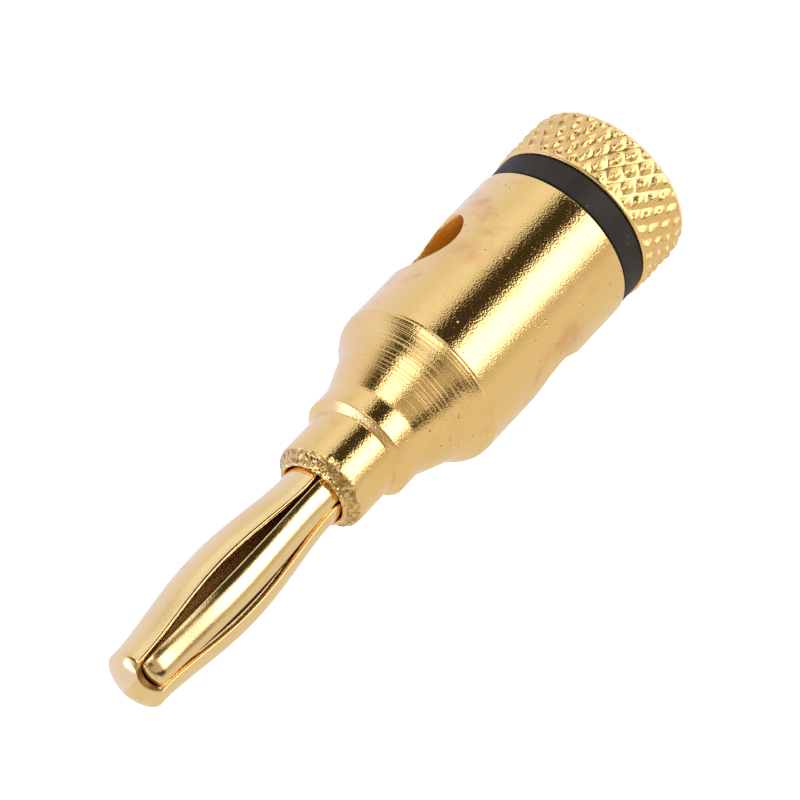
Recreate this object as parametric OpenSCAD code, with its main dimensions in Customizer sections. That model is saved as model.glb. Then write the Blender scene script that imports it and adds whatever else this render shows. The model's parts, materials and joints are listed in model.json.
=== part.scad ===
// Screw-cap banana plug for loudspeaker cable, gold plated, standing on its cap with the contact tip up.
// Sizes are in millimetres and degrees. Z runs along the plug from the rear face of the cap,
// X along the wire hole. The contact pin is two bowed strips folded into a U and crossed.

/* [Screw cap] */
// Diameter over the crests of the knurl
cap_d = 10.16; // [8:0.02:14]
// Length of the knurled head
cap_len = 3.75; // [2.5:0.05:6]
// Rounding of the rear edge
cap_bevel = 0.45; // [0.2:0.01:0.8]
// Bevel of the edge next to the colour ring
cap_lip = 0.14; // [0.05:0.01:0.3]
// Number of diamonds round the knurl
knurl_count = 32; // [20:1:60]
// Spacing of the diamonds along the cap
knurl_pitch = 1.7; // [0.8:0.05:3]
// Depth of the knurl grooves
knurl_depth = 0.2; // [0.05:0.01:0.35]

/* [Clamp screw] */
// Outside diameter of the screw
screw_d = 6; // [5:0.1:7]
// Advance of the screw in one turn, which also sets the bevels of its end and of the barrel mouth
screw_pitch = 1; // [0.5:0.05:1.5]
// Radial play of the screw in its thread and in the colour ring
screw_gap = 0.05; // [0.02:0.01:0.1]
// Space left at the front of the wire hole when the cap is tight
wire_nip = 0.75; // [0.3:0.05:2]

/* [Colour ring] */
// Outer diameter of the ring
ring_d = 9.78; // [9.2:0.02:13]
// Length of the ring along the plug
ring_len = 1.75; // [1:0.05:3]
// Bevel of the two outer edges
ring_bevel = 0.09; // [0.03:0.01:0.2]

/* [Barrel] */
// Outer diameter of the barrel
barrel_d = 10; // [9.8:0.05:13]
// Length from the colour ring to the start of the flare
barrel_len = 12; // [10.5:0.05:18]
// Bevel of the rear edge
barrel_bevel = 0.12; // [0.05:0.01:0.4]
// Diameter of the wire hole through both walls
wire_hole_d = 4.7; // [3:0.05:5.5]
// Distance of the wire hole from the rear edge of the barrel
wire_hole_pos = 5.8; // [4.5:0.05:7]
// Room between the screw and the inner edges of the wire hole
chamber_gap = 0.1; // [0.05:0.01:0.4]
// Length of the wire chamber past the wire hole at either end
chamber_run = 0.3; // [0.1:0.05:0.6]
// Slope of the drilled end of the chamber
drill_angle = 31; // [20:1:45]

/* [Flare and collar] */
// Radius of the shoulder where the barrel starts to narrow
shoulder_r = 1.35; // [0.6:0.05:2.5]
// Turn of the surface at the crease between barrel and shoulder
crease_angle = 3; // [0:0.5:12]
// Steepest slope of the flare
steep_angle = 38; // [30:1:50]
// Length of the steep part
steep_len = 0.7; // [0.3:0.05:1.2]
// Radius of the hollow between the steep part and the slim cone
hollow_r = 2; // [1:0.1:4]
// Slope of the slim cone
slim_angle = 20; // [12:1:26]
// Diameter of the first collar
neck_d = 6.44; // [6:0.02:7]
// Length of the first collar
neck_len = 1.45; // [0.8:0.05:3]
// Length of the bevel from the first to the second collar
step_len = 0.3; // [0.1:0.05:0.6]
// Diameter of the second collar
collar_d = 5.4; // [5:0.02:5.8]
// Length of the second collar
collar_len = 2.96; // [2:0.02:5]
// Length of the conical nose rolled down round the leaf roots
nose_len = 0.69; // [0.3:0.01:1]
// Diameter of the mouth in the nose
mouth_d = 3.9; // [3.8:0.02:4.3]

/* [Contact pin] */
// Outer diameter of the four leaves at root and tip
pin_d = 3.56; // [3.2:0.02:3.7]
// Length from the nose to the end of the tip
pin_len = 15.6; // [15:0.05:20]
// Thickness of the spring strip
leaf_t = 0.35; // [0.2:0.01:0.45]
// How far the leaves bow outward at the bulge
bow = 0.6; // [0.2:0.02:0.9]
// Distance from the nose to the start of the bow
bow_start = 0.75; // [0.4:0.05:2]
// Distance from the nose to the widest part of the bow
bow_peak = 7.6; // [6:0.05:9.5]
// Distance of the end of the bow from the tip
bow_end = 1.2; // [1.1:0.05:2]
// Angle that a wide leaf covers
wide_angle = 113.4; // [100:0.2:124]
// Open angle between neighbouring leaves at the root
gap_angle = 7.4; // [5:0.2:12]
// Extra arc at either side of a leaf for each millimetre of bow
leaf_swell = 6; // [0:0.5:8]
// Lean of the sheared edges of the wide leaves, as the extra arc of the inner face
lean_angle = 4.3; // [0:0.1:4.6]
// Radius of the domed tip
dome_r = 2.7; // [2.2:0.05:5]
// Width of the tip strap at its waist
strap_w = 2.26; // [1.6:0.02:2.6]
// Turn of the pin about the plug's axis, away from the wire hole
pin_turn = -6; // [-45:1:45]
// Depth to which the leaf roots sit in the collar
root_depth = 5.3; // [4:0.05:6]
// Play round the leaf roots and between the two strips
strip_gap = 0.03; // [0.02:0.01:0.06]
// Distance of the root plug behind the nose
plug_drop = 0.5; // [0.3:0.05:1.5]
// Bevel of the front edge of the root plug
plug_bevel = 0.3; // [0.1:0.05:0.6]

/* [Hidden] */
$fn = 96;

bevel_share = 0.3;
shoulder_steps = 8;
hollow_steps = 6;
gold = [0.85, 0.68, 0.35];
pale_gold = [0.90, 0.76, 0.48];
black = [0.16, 0.15, 0.16];

cap_r = cap_d / 2;
screw_r = screw_d / 2;
thread_r = screw_r + screw_gap;
barrel_r = barrel_d / 2;
neck_r = neck_d / 2;
collar_r = collar_d / 2;
pin_r = pin_d / 2;
core_r = pin_r - leaf_t - strip_gap;
seat_r = pin_r + strip_gap;
hole_r = wire_hole_d / 2;
mouth_r = mouth_d / 2;

// The wire chamber is wide enough to take the inner edges of the wire hole clear of the screw
chamber_r = sqrt(pow(screw_r + chamber_gap, 2) + pow(hole_r, 2));
thread_bevel = screw_pitch / 4;
mouth_bevel = 2 * (mouth_r - seat_r);

// Stations along the plug
z_ring = cap_len;
z_rear = z_ring + ring_len;
z_hole = z_rear + wire_hole_pos;
z_screw_end = z_hole + hole_r - wire_nip;
z_chamber = z_hole - hole_r - chamber_run;
z_chamber_end = z_hole + hole_r + chamber_run;
z_flare = z_rear + barrel_len;

// Flare outline: shoulder arc, steep cone, hollow arc, slim cone
function turn(a) = [cos(a), sin(a)];
function arc(c, r, a, b, n) = [for (i = [0 : n]) c + r * turn(a + (b - a) * i / n)];
shoulder_c = [barrel_r, z_flare] - shoulder_r * turn(crease_angle);
steep_end = shoulder_c + shoulder_r * turn(steep_angle) + steep_len * turn(steep_angle + 90);
hollow_c = steep_end + hollow_r * turn(steep_angle);
hollow_end = hollow_c - hollow_r * turn(slim_angle);
z_neck = hollow_end[1] + (hollow_end[0] - neck_r) / tan(slim_angle);
z_step = z_neck + neck_len;
z_collar = z_step + step_len;
z_nose = z_collar + collar_len;
z_mouth = z_nose + nose_len;
z_root = z_mouth - root_depth;
z_tip = z_mouth + pin_len;

// Bow of the leaves, and the creases where they fold over into the tip
z_bow = z_mouth + bow_start;
z_peak = z_mouth + bow_peak;
z_cup = z_tip - bow_end;
bow_ease = 1.5;
bow_steps = 9;
fold_steps = 5;
wide_cols = 12;
narrow_cols = 6;
dome_z = z_tip - dome_r;
under_share = 4 / 3;
under_r = dome_r * under_share;
under_z = dome_z + sqrt(dome_r * dome_r - pin_r * pin_r) - leaf_t
    - sqrt(under_r * under_r - pin_r * pin_r);
leaf_levels = concat(
    [z_root],
    [for (i = [0 : bow_steps - 1]) z_bow + (z_peak - z_bow) * i / bow_steps],
    [for (i = [0 : bow_steps]) z_peak + (z_cup - z_peak) * i / bow_steps]
);

wide_half = wide_angle / 2;
narrow_half = 90 - wide_half - gap_angle;

// Barrel with flare and collars, turned in one piece: a short thread at the rear, a wire chamber
// in front of it, the wire hole across the chamber and a bore for the leaf roots
module barrel() {
    color(gold)
    difference() {
        rotate_extrude() barrel_outline();
        rotate_extrude() rear_bore();
        translate([0, 0, z_hole])
            rotate([0, 90, 0])
            cylinder(r = hole_r, h = 2 * barrel_d, center = true);
        rotate_extrude() front_bore();
    }
}

// Half section of the threaded bore and the wire chamber
module rear_bore() {
    polygon([
        [0, z_ring],
        [thread_r + thread_bevel, z_ring],
        [thread_r + thread_bevel, z_rear],
        [thread_r, z_rear + thread_bevel],
        [thread_r, z_chamber],
        [chamber_r, z_chamber],
        [chamber_r, z_chamber_end],
        [screw_r, z_chamber_end],
        [0, z_chamber_end + screw_r * tan(drill_angle)]
    ]);
}

// Half section of the bore for the leaf roots
module front_bore() {
    polygon([
        [0, z_root],
        [seat_r, z_root],
        [seat_r, z_mouth - mouth_bevel],
        [mouth_r, z_mouth],
        [mouth_r, z_tip],
        [0, z_tip]
    ]);
}

// Half section of the barrel
module barrel_outline() {
    polygon(concat(
        [
            [0, z_rear],
            [barrel_r - barrel_bevel, z_rear],
            [barrel_r, z_rear + barrel_bevel]
        ],
        arc(shoulder_c, shoulder_r, crease_angle, steep_angle, shoulder_steps),
        arc(hollow_c, hollow_r, 180 + steep_angle, 180 + slim_angle, hollow_steps),
        [
            [neck_r, z_neck],
            [neck_r, z_step],
            [collar_r, z_collar],
            [collar_r, z_nose],
            [mouth_r, z_mouth],
            [0, z_mouth]
        ]
    ));
}

// Short plug driven in between the leaf roots to wedge them in the collar
module root_plug() {
    color(gold)
    rotate_extrude()
    polygon([
        [0, z_root],
        [core_r, z_root],
        [core_r, z_mouth - plug_drop - plug_bevel],
        [core_r - plug_bevel, z_mouth - plug_drop],
        [0, z_mouth - plug_drop]
    ]);
}

// How far a leaf stands out from the straight pin at height z
function bow_at(z) =
    z <= z_bow || z >= z_cup
        ? 0
        : z < z_peak
            ? bow * pow(sin(90 * (z - z_bow) / (z_peak - z_bow)), bow_ease)
            : bow * pow(sin(90 * (z_cup - z) / (z_cup - z_peak)), bow_ease);

// Row of points across a leaf, which curves with radius r and is widest at the bulge; side is 1 or -1
function leaf_row(side, z, r, half, cols) = [
    for (j = [0 : cols])
    let (a = (half + leaf_swell * bow_at(z)) * (2 * j / cols - 1))
    [side * (bow_at(z) + r * cos(a)), r * sin(a), z]
];

// Row across the domed tip; c runs from 1 at one crease to -1 at the other
function fold_row(c, r, half, strap, ball_r, ball_z, cols) = [
    for (j = [0 : cols])
    let (
        u = 2 * j / cols - 1,
        x = c * r * cos(half * u),
        y = u * strap * (1 - c * c) + r * sin(half * u) * c * c
    )
    [x, y, ball_z + sqrt(ball_r * ball_r - x * x - y * y)]
];

// One face of a strip: up one leaf, over the tip and down the other leaf
function strip_rows(r, half, strap, ball_r, ball_z, cols) = concat(
    [for (z = leaf_levels) leaf_row(1, z, r, half, cols)],
    [
        for (k = [0 : 2 * fold_steps])
        fold_row(1 - k / fold_steps, r, half, strap, ball_r, ball_z, cols)
    ],
    [for (i = [len(leaf_levels) - 1 : -1 : 0]) leaf_row(-1, leaf_levels[i], r, half, cols)]
);

// Spring strip folded into a U: outer face, inner face, sheared edges and the two root ends
module strip(half, lean, strap, ball_r, ball_z, cols) {
    outside = strip_rows(pin_r, half, strap, ball_r, ball_z, cols);
    inside = strip_rows(pin_r - leaf_t, half + lean, strap, ball_r - leaf_t, ball_z, cols);
    n = cols + 1;
    rows = len(outside);
    half_count = rows * n;
    points = [for (row = concat(outside, inside), p = row) p];
    broad = [
        for (i = [0 : rows - 2], j = [0 : cols - 1])
        let (a = i * n + j, b = a + 1, c = a + n + 1, d = a + n)
        each [
            [a, d, c],
            [a, c, b],
            [half_count + a, half_count + c, half_count + d],
            [half_count + a, half_count + b, half_count + c]
        ]
    ];
    edges = [
        for (i = [0 : rows - 2])
        let (a = i * n, d = a + n, b = a + cols, c = b + n)
        each [
            [half_count + a, half_count + d, d],
            [half_count + a, d, a],
            [b, c, half_count + c],
            [b, half_count + c, half_count + b]
        ]
    ];
    ends = [
        for (j = [0 : cols - 1])
        let (a = j, b = half_count - n + j)
        each [
            [a, a + 1, half_count + a + 1],
            [a, half_count + a + 1, half_count + a],
            [b + 1, b, half_count + b],
            [b + 1, half_count + b, half_count + b + 1]
        ]
    ];
    polyhedron(points = points, faces = concat(broad, edges, ends));
}

// Strip with two wide leaves, whose waisted strap is the visible tip
module outer_leaf_spring() {
    color(pale_gold)
    rotate([0, 0, pin_turn])
    strip(wide_half, lean_angle, strap_w / 2, dome_r, dome_z, wide_cols);
}

// Strip with two narrow leaves, folded under the strap of the outer one
module inner_leaf_spring() {
    color(pale_gold)
    rotate([0, 0, pin_turn + 90])
    strip(narrow_half, 0, (pin_r - leaf_t) * sin(narrow_half), under_r, under_z, narrow_cols);
}

// Loose plastic ring trapped between cap and barrel
module colour_ring() {
    color(black)
    translate([0, 0, z_ring])
    rotate_extrude()
    polygon([
        [thread_r, 0],
        [ring_d / 2 - ring_bevel, 0],
        [ring_d / 2, ring_bevel],
        [ring_d / 2, ring_len - ring_bevel],
        [ring_d / 2 - ring_bevel, ring_len],
        [thread_r, ring_len]
    ]);
}

// Knurled head: rows of points half a diamond apart, groove crossings and crests by turns,
// with the crests trimmed by the rounded rear edge and the bevelled front edge
module knurled_head() {
    groove_r = cap_r - knurl_depth;
    trim = bevel_share * cap_bevel;
    trim_r = cap_r - trim;
    band = cap_len - cap_bevel - cap_lip;
    count = max(2, round(2 * band / knurl_pitch));
    steps = 2 * knurl_count;
    levels = concat(
        [
            [0, cap_r - cap_bevel, cap_r - cap_bevel],
            [trim, min(groove_r, trim_r), trim_r]
        ],
        [for (i = [0 : count]) [cap_bevel + band * i / count, groove_r, cap_r]],
        [[cap_len, groove_r, groove_r]]
    );
    rows = len(levels) - 1;
    points = [
        for (k = [0 : rows], m = [0 : steps - 1])
        let (r = levels[k][(m + k) % 2 == 0 ? 1 : 2], a = 360 * m / steps)
        [r * cos(a), r * sin(a), levels[k][0]]
    ];
    sides = [
        for (k = [0 : rows - 1], m = [0 : steps - 1])
        let (
            a = k * steps + m,
            b = k * steps + (m + 1) % steps,
            c = a + steps,
            d = b + steps
        )
        each ((m + k) % 2 == 0 ? [[a, d, b], [a, c, d]] : [[a, c, b], [b, c, d]])
    ];
    rear = [for (m = [0 : steps - 1]) m];
    front = [for (m = [steps - 1 : -1 : 0]) rows * steps + m];
    polyhedron(points = points, faces = concat(sides, [rear, front]));
}

// Knurled cap and its clamp screw, turned in one piece
module screw_cap() {
    color(gold) {
        knurled_head();
        rotate_extrude()
        polygon([
            [0, cap_len / 2],
            [screw_r, cap_len / 2],
            [screw_r, z_screw_end - screw_pitch / 2],
            [screw_r - screw_pitch / 2, z_screw_end],
            [0, z_screw_end]
        ]);
    }
}

barrel();
root_plug();
outer_leaf_spring();
inner_leaf_spring();
colour_ring();
screw_cap();
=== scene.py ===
"""Gold-plated screw-cap banana plug: barrel, crossed leaf springs, colour ring and knurled cap."""

import json
import math

import bpy
from bpy.props import FloatProperty, FloatVectorProperty, IntProperty, PointerProperty
from mathutils import Matrix, Vector, noise


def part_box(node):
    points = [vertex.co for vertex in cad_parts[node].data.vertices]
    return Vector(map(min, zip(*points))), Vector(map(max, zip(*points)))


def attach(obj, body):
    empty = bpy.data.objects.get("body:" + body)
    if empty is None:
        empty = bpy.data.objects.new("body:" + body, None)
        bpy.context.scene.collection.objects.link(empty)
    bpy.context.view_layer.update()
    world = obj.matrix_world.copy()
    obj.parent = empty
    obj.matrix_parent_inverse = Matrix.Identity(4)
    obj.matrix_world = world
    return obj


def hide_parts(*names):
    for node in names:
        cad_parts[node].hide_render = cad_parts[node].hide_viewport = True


bl_info = {
    "name": "Banana Plug",
    "version": (1, 0, 0),
    "blender": (4, 5, 0),
    "location": "View3D > Sidebar > Banana Plug",
    "description": "Dresses the solids of a screw-cap banana plug and sets up its studio",
    "category": "Object",
}

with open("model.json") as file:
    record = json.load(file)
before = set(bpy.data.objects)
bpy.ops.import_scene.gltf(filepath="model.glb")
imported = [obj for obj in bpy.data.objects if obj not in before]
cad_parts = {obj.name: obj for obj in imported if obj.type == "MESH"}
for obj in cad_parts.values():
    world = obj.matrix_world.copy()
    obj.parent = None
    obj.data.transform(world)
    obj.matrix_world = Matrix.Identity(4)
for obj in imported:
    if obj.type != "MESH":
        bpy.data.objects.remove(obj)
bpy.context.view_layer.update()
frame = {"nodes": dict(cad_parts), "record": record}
MM = 0.001
TAU = 2 * math.pi
SHARP_DEGREES = 32

BARREL_LOW, BARREL_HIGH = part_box("barrel")
RING_LOW, RING_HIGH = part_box("colour_ring")
CAP_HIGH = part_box("screw_cap")[1]
LEAF_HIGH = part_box("outer_leaf_spring")[1]
MOUNTS = {mount["name"]: mount for mount in frame["record"]["mounts"]}
WIRE_HOLE = MOUNTS["wire_hole_right"]


def length(name, description, default):
    """A size in metres that the sidebar shows in the scene's own unit."""
    return FloatProperty(
        name=name, description=description, default=default, unit="LENGTH", precision=5
    )


def angle(name, description, degrees):
    """An angle that is written in degrees and kept in radians."""
    return FloatProperty(
        name=name, description=description, default=math.radians(degrees), subtype="ANGLE"
    )


def colour(name, description, default, brightest=1):
    """A colour in linear light."""
    return FloatVectorProperty(
        name=name, description=description, default=default, size=3, min=0, max=brightest,
        subtype="COLOR",
    )


def factor(name, description, default):
    """A share between nothing and all."""
    return FloatProperty(
        name=name, description=description, default=default, min=0, max=1, subtype="FACTOR"
    )


def brightness(name, description, default):
    """The strength of a light or card."""
    return FloatProperty(name=name, description=description, default=default, min=0)


class PlugSizes(bpy.types.PropertyGroup):
    """Sizes of the plug's pieces"""

    barrel_r: length("Barrel radius", "Outside of the plain barrel", BARREL_HIGH.x)
    barrel_rear: length("Barrel rear", "Height of the barrel's rear edge", BARREL_LOW.z)
    barrel_mouth: length("Nose", "Height of the barrel's nose", BARREL_HIGH.z)
    barrel_len: length("Barrel length", "From the colour ring to the flare", 12 * MM)
    barrel_bevel: length("Barrel bevel", "Bevel of the barrel's rear edge", 0.12 * MM)
    edge_r: length("Edge radius", "Rounding of the turned edges", 0.03 * MM)
    groove_w: length("Groove width", "Width of the fine groove at the end of the barrel", 0.14 * MM)
    groove_d: length("Groove depth", "Depth of the fine groove at the end of the barrel", 0.06 * MM)
    tool_pitch: length("Tool mark pitch", "Spacing of the tool's rings on the flare", 0.2 * MM)
    tool_depth: length("Tool mark depth", "Depth of the tool's rings on the flare", 0.018 * MM)
    hole_r: length("Wire hole radius", "Radius of the wire hole", WIRE_HOLE["dims"]["r_mm"] * MM)
    hole_z: length("Wire hole height", "Height of the wire hole", WIRE_HOLE["pos_m"][2])
    hole_edge: length("Wire hole edge", "Rounding of the rim of the wire hole", 0.09 * MM)
    shoulder_r: length("Shoulder radius", "Rounding where the barrel narrows", 1.35 * MM)
    crease: angle("Crease", "Turn of the surface where the shoulder starts", 3)
    steep: angle("Steep slope", "Steepest slope of the flare", 38)
    steep_len: length("Steep length", "Length of the steep part", 0.7 * MM)
    hollow_r: length("Hollow radius", "Radius of the hollow of the flare", 2 * MM)
    slim: angle("Slim slope", "Slope of the slim cone", 20)
    neck_r: length("First collar radius", "Radius of the first collar", 3.22 * MM)
    neck_len: length("First collar length", "Length of the first collar", 1.45 * MM)
    step_len: length("Step", "Length of the bevel between the collars", 0.3 * MM)
    collar_r: length("Second collar radius", "Radius of the second collar", 2.7 * MM)
    collar_len: length("Second collar length", "Length of the second collar", 2.96 * MM)
    mouth_r: length("Mouth radius", "Radius of the mouth in the nose", 1.95 * MM)
    seat_r: length("Seat radius", "Radius of the bore round the leaf roots", 1.81 * MM)
    root_depth: length("Root depth", "Depth of the bore for the leaf roots", 5.3 * MM)
    bead_w: length("Bead width", "Width of the rolled bead at the mouth", 0.2 * MM)
    neck_blend: length("Neck blend", "Rounding between slim cone and first collar", 1.6 * MM)
    nose_grit: length("Nose roughness", "Height of the rough skin of the nose", 0.07 * MM)

    screw_r: length("Screw radius", "Outside of the clamp screw's thread", 3 * MM)
    screw_end: length("Screw end", "Height of the clamp screw's end", CAP_HIGH.z)
    screw_gap: length("Screw play", "Radial play of the screw in its thread", 0.05 * MM)
    screw_pitch: length("Screw pitch", "Advance of the screw in one turn", 1 * MM)
    thread_depth: length("Thread depth", "Depth of the thread", 0.45 * MM)
    chamber_gap: length("Chamber gap", "Play of the screw past the wire hole's edge", 0.1 * MM)
    chamber_run: length("Chamber run", "How far the wire chamber runs past the wire hole", 0.3 * MM)
    drill_angle: angle("Drill point", "Slope of the drilled bottom", 31)

    ring_r: length("Ring radius", "Outside of the colour ring", RING_HIGH.x)
    ring_bevel: length("Ring bevel", "Bevel of the ring's edges", 0.09 * MM)

    cap_r: length("Cap radius", "Radius over the crests of the knurl", CAP_HIGH.x)
    cap_len: length("Cap length", "Length of the knurled head", RING_LOW.z)
    cap_bevel: length("Cap rounding", "Rounding of the cap's rear edge", 0.45 * MM)
    cap_lip: length("Cap lip", "Bevel of the cap's front edge", 0.14 * MM)
    knurl_count: IntProperty(name="Diamonds", description="Diamonds round the knurl", default=32)
    knurl_pitch: length("Knurl pitch", "Spacing of the diamonds along the cap", 1.7 * MM)
    knurl_depth: length("Knurl depth", "Depth of the knurl grooves", 0.2 * MM)

    pin_r: length("Pin radius", "Outside of the leaves at root and tip", 1.78 * MM)
    leaf_t: length("Strip thickness", "Thickness of the spring strip", 0.35 * MM)
    leaf_edge: length("Strip edge", "Rounding of the sheared edges", 0.05 * MM)
    leaf_tip: length("Tip", "Height of the tip", LEAF_HIGH.z)
    bow: length("Bow", "How far the leaves bow outward", 0.6 * MM)
    bow_start: length("Bow start", "From the nose to the start of the bow", 0.75 * MM)
    bow_peak: length("Bow peak", "From the nose to the widest part", 7.6 * MM)
    bow_end: length("Bow end", "From the end of the bow to the tip", 1.2 * MM)
    wide_half: angle("Wide leaf", "Half the arc of a wide leaf", 56.7)
    leaf_gap: angle("Leaf gap", "Open angle between neighbouring leaves", 7.4)
    leaf_swell: angle("Leaf swell", "Extra arc at either side of a leaf at the bulge", 3.6)
    edge_lean: angle("Edge lean", "Extra arc of the inner face of a wide leaf", 4.3)
    dome_r: length("Dome radius", "Radius of the domed tip", 2.7 * MM)
    strap_w: length("Strap waist", "Width of the tip strap at its waist", 2.26 * MM)
    pin_turn: angle("Pin turn", "Turn of the pin about the plug's axis", -6)


class PlugFinish(bpy.types.PropertyGroup):
    """Colours and polish of the plug"""

    gold: colour("Gold", "Gold plate of the barrel", (0.93, 0.64, 0.275))
    gold_deep: colour("Deep gold", "Warmer patches in the plate", (0.86, 0.53, 0.2))
    tarnish: colour("Tarnish", "Pinkish stains in the plate", (0.8, 0.43, 0.2))
    cap_gold: colour("Cap gold", "Plate of the knurled cap", (0.915, 0.615, 0.25))
    spring_gold: colour("Spring gold", "Plate of the leaf springs", (0.93, 0.69, 0.36))
    # Painted shade: the deeper orange-brown of the walls inside the wire hole and bore.
    hole_shade: colour("Bare brass", "Drilled walls of hole and bore", (0.68, 0.27, 0.022))
    nose_brown: colour("Nose brown", "Dull skin of the rolled nose", (0.42, 0.25, 0.08))
    pit_brown: colour("Pit brown", "Bottoms of the pits in the plate", (0.16, 0.09, 0.035))
    # Painted shade: the dark brown of the leaves' faces turned into the pin and of the strap's
    # edges.
    leaf_inside_shade: colour("Leaf inside", "Dull inner faces of the leaf springs", (0.24, 0.11, 0.03))
    ring_black: colour("Ring black", "Plastic of the colour ring", (0.0125, 0.0086, 0.0064))
    ring_speck: colour("Ring specks", "Pale specks in the plastic", (0.054, 0.043, 0.038))
    # The ring's rims are painted shade: near black where the ring meets barrel and cap.
    ring_rim_shade: colour("Ring rims", "Darker rims of the colour ring", (0.003, 0.0025, 0.0025))
    polish: factor("Barrel roughness", "Roughness of the barrel's plate", 0.085)
    spring_polish: factor("Leaf roughness", "Roughness of the leaf springs", 0.085)
    cap_polish: factor("Cap roughness", "Roughness of the knurled cap", 0.23)
    ring_matte: factor("Ring roughness", "Roughness of the plastic", 0.55)


class PlugStage(bpy.types.PropertyGroup):
    """Floor, light and camera"""

    view_azimuth: angle("Azimuth", "Where the camera stands round the plug", 10)
    view_elevation: angle("Elevation", "Height of the camera above the horizon", 30.85)
    view_roll: angle("Roll", "Turn of the camera about its own axis", -136.4)
    view_distance: length("Distance", "From the camera to the point it aims at", 316.8 * MM)
    aim_y: length("Aim across", "Place of the aimed point across the plug", 0.64 * MM)
    aim_z: length("Aim height", "Height of the aimed point", 18.6 * MM)
    lens: FloatProperty(
        name="Lens", description="Focal length", default=270, unit="CAMERA"
    )
    floor_side: length("Floor", "Side of the floor", 3000 * MM)
    floor_colour: colour("Floor colour", "Pale floor", (0.9, 0.9, 0.9))
    floor_fibre: colour("Floor fibres", "Greyer fibres of the floor", (0.8, 0.8, 0.8))
    room_light: brightness("Room light", "Soft light from all round", 2.2)
    left_wall: brightness("Left wall", "Wide card on the hole's side", 0.87)
    right_wall: brightness("Right wall", "Wide card on the other side", 0.81)
    lamp: brightness("Lamp card", "Bright card beside the camera", 3.2)
    dim_card: brightness("Dim card", "Grey card above the camera", 0.55)
    dim_end: brightness("Dim end", "Upper end of the grey card's middle", 0.16)
    flag: brightness("Flag", "Narrow dark cards", 0.05)
    low_pane: brightness("Low pane", "Low card on the hole's side", 1.0)
    low_strip: brightness("Low strip", "Low narrow card on the other side", 0.66)
    window: brightness("Window", "Lower end of the bright card on the hole's side", 2.4)
    window_end: brightness("Window end", "Upper end of the bright card on the hole's side", 1.0)
    side_lamp: brightness("Side lamp", "Upper end of the card far round the hole's side", 2.2)
    top_card: brightness("Top card", "Grey card overhead", 0.4)
    top_lamp: brightness("Top lamp", "Bright card overhead, far round the hole's side", 2.0)
    floor_glow: brightness("Floor glow", "Light from below", 1.5)
    shade_tint: colour("Shade tint", "Colour of what is dimly lit", (1.0, 0.8, 0.42))
    right_tint: colour("Right tint", "Light on the other side", (0.98, 0.98, 0.94))
    left_tint: colour("Left tint", "Cooler light on the hole's side", (0.96, 1.0, 1.0))
    far_tint: colour("Far tint", "Bluer light far round the hole's side", (0.98, 1.06, 1.45), 2)


# Mesh helpers

def add_object(name, verts, faces, sharp_degrees=SHARP_DEGREES):
    """A closed mesh with smooth shading and sharp edges above an angle."""
    mesh = bpy.data.meshes.new(name)
    mesh.from_pydata(verts, [], faces)
    mesh.validate()
    obj = bpy.data.objects.new(name, mesh)
    bpy.context.scene.collection.objects.link(obj)
    smooth(mesh, sharp_degrees)
    return obj


def smooth(mesh, sharp_degrees):
    """Smooth shading except across edges sharper than an angle."""
    mesh.polygons.foreach_set("use_smooth", [True] * len(mesh.polygons))
    mesh.set_sharp_from_angle(angle=math.radians(sharp_degrees))
    mesh.update()


def bake_modifiers(obj, sharp_degrees=SHARP_DEGREES):
    """Puts the result of the modifiers into the mesh."""
    depsgraph = bpy.context.evaluated_depsgraph_get()
    mesh = bpy.data.meshes.new_from_object(obj.evaluated_get(depsgraph))
    obj.modifiers.clear()
    obj.data = mesh
    smooth(mesh, sharp_degrees)


def direction(a):
    """Unit vector at an angle in the half section, radius first."""
    return Vector((math.cos(a), math.sin(a)))


def arc(centre, radius, start, end, count):
    """Points of an arc in the half section."""
    return [
        centre + radius * direction(start + (end - start) * i / count) for i in range(count + 1)
    ]


def rounded(corners, steps=3):
    """An outline whose corners, given as (radius, height, rounding), are small arcs."""
    points = []
    for i, (r, z, rounding) in enumerate(corners):
        here = Vector((r, z))
        if rounding == 0 or i in (0, len(corners) - 1):
            points.append(here)
            continue
        back = (Vector(corners[i - 1][:2]) - here).normalized()
        ahead = (Vector(corners[i + 1][:2]) - here).normalized()
        half = back.angle(ahead) / 2
        reach = rounding / math.tan(half)
        centre = here + (back + ahead).normalized() * rounding / math.sin(half)
        first, last = here + back * reach, here + ahead * reach
        for k in range(steps + 1):
            spoke = (first - centre).lerp(last - centre, k / steps).normalized()
            points.append(centre + spoke * rounding)
    return points


def filled(points, step):
    """The same outline with extra points, so that no gap is longer than step."""
    result = [points[0]]
    for start, end in zip(points, points[1:]):
        count = max(1, math.ceil((end - start).length / step))
        result += [start.lerp(end, k / count) for k in range(1, count + 1)]
    return result


def skinned(name, rings, sharp_degrees=SHARP_DEGREES, loop=False):
    """A closed piece through rings of points. The first and last rings are single points, or the
    last ring joins the first in a loop."""
    verts, numbers = [], []
    for ring in rings:
        numbers.append(range(len(verts), len(verts) + len(ring)))
        verts += ring
    faces = []
    for low, high in zip(numbers, numbers[1:] + numbers[:1] if loop else numbers[1:]):
        faces += bridge(low, high)
    return add_object(name, verts, faces, sharp_degrees)


def turned(name, rows, sharp_degrees=SHARP_DEGREES, loop=False):
    """A closed turned piece. A row is (columns, function from angle to radius and height)."""
    rings = []
    for columns, place in rows:
        ring = []
        for i in range(columns):
            a = TAU * i / columns
            r, z = place(a)
            ring.append((r * math.cos(a), r * math.sin(a), z))
        rings.append(ring)
    return skinned(name, rings, sharp_degrees, loop)


def bridge(low, high):
    """Faces between two rings, where one may have several times the columns of the other."""
    faces = []
    a, b = len(low), len(high)
    for i in range(min(a, b) if min(a, b) > 1 else max(a, b)):
        under = [low[k % a] for k in spread(i, a, b)]
        over = [high[k % b] for k in spread(i, b, a)]
        faces.append(under + over[::-1])
    return faces


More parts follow.
